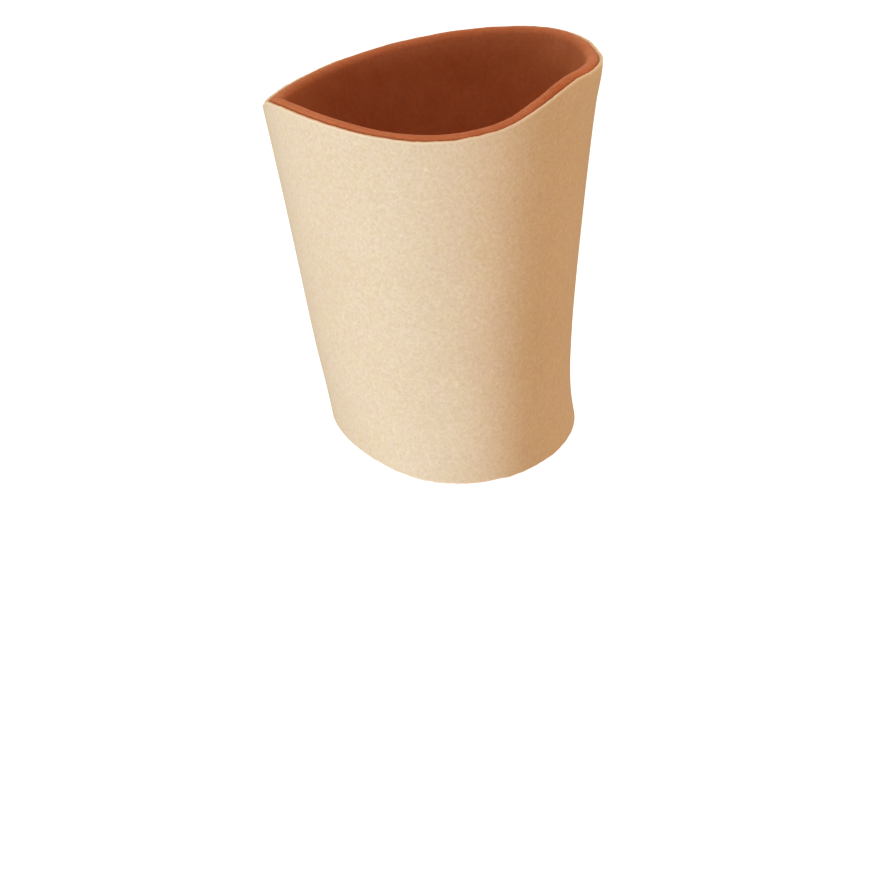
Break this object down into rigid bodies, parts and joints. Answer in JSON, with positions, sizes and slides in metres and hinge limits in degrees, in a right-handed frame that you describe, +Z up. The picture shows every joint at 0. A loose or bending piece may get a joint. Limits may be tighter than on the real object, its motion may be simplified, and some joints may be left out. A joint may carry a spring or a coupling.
{
  "type": "shin protector pad",
  "caption": "Tapered sleeve pad worn round the lower shin: a napped fabric cover over a soft gel lining, open at the top and the bottom.",
  "frame": {"origin": "the middle of the hollow for the leg, half way between the top and the bottom edge", "axes": "+Z up the sleeve's axis towards the knee, -Y to the shin side, +X to the outer side of the leg in the picture"},
  "size_m": [0.0913, 0.095, 0.1052],
  "materials": {
    "cover_fabric": "matte cream napped microfibre",
    "lining_gel": "satin amber gel, slightly translucent"
  },
  "bodies": {
    "root": {"fabric_cover": "cover_fabric", "gel_lining": "lining_gel"}
  },
  "joints": []
}
